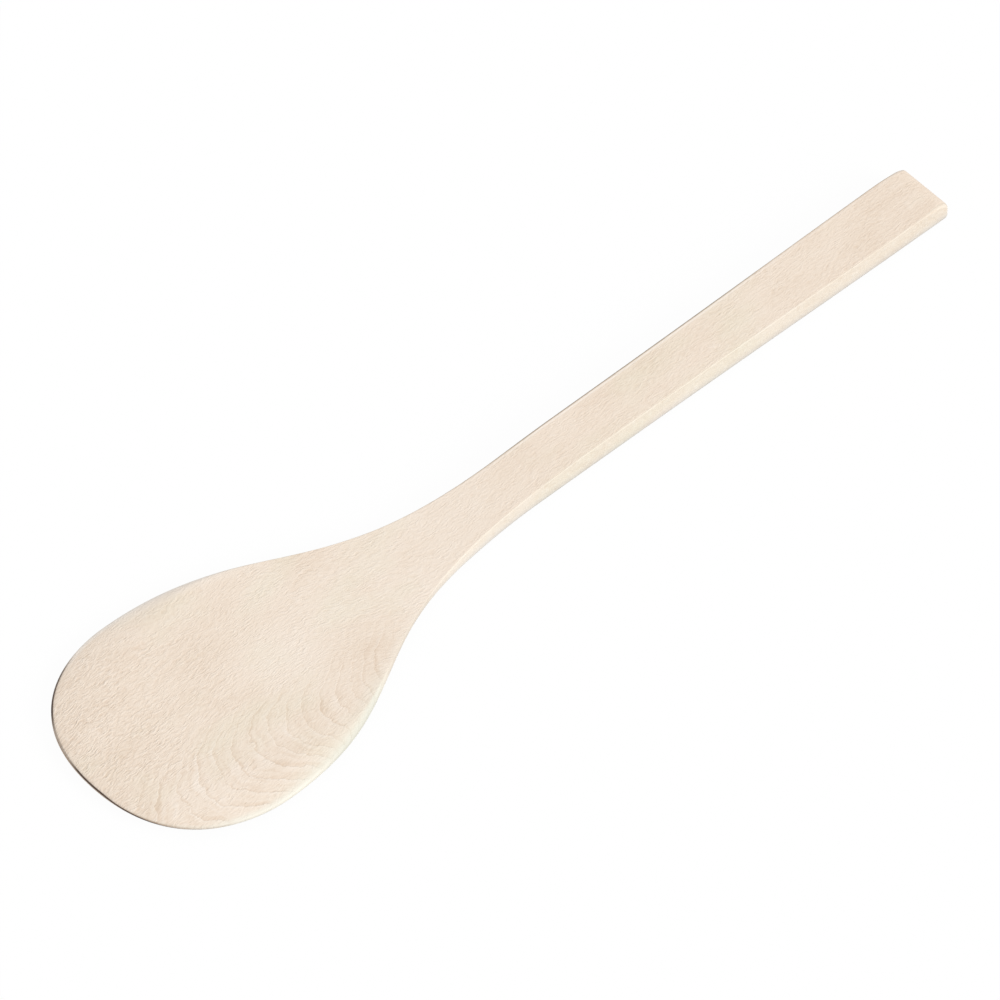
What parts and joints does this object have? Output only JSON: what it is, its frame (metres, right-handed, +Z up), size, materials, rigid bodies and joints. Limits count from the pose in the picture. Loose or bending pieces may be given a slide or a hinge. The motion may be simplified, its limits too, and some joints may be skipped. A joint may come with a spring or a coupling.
{
  "type": "wooden spatula",
  "caption": "Wooden kitchen spatula with a broad rounded blade that thins to a fine rim and flows through a slim neck into a long flat handle.",
  "frame": {"origin": "below the middle of the length, on the surface that the spatula lies on", "axes": "+X along the handle to its end, +Y across the blade, +Z up out of the blade's upper face"},
  "size_m": [0.3, 0.0746, 0.0085],
  "materials": {
    "sanded_beech": "sanded, left bare and matt"
  },
  "bodies": {
    "root": {"spatula": "sanded_beech"}
  },
  "joints": []
}
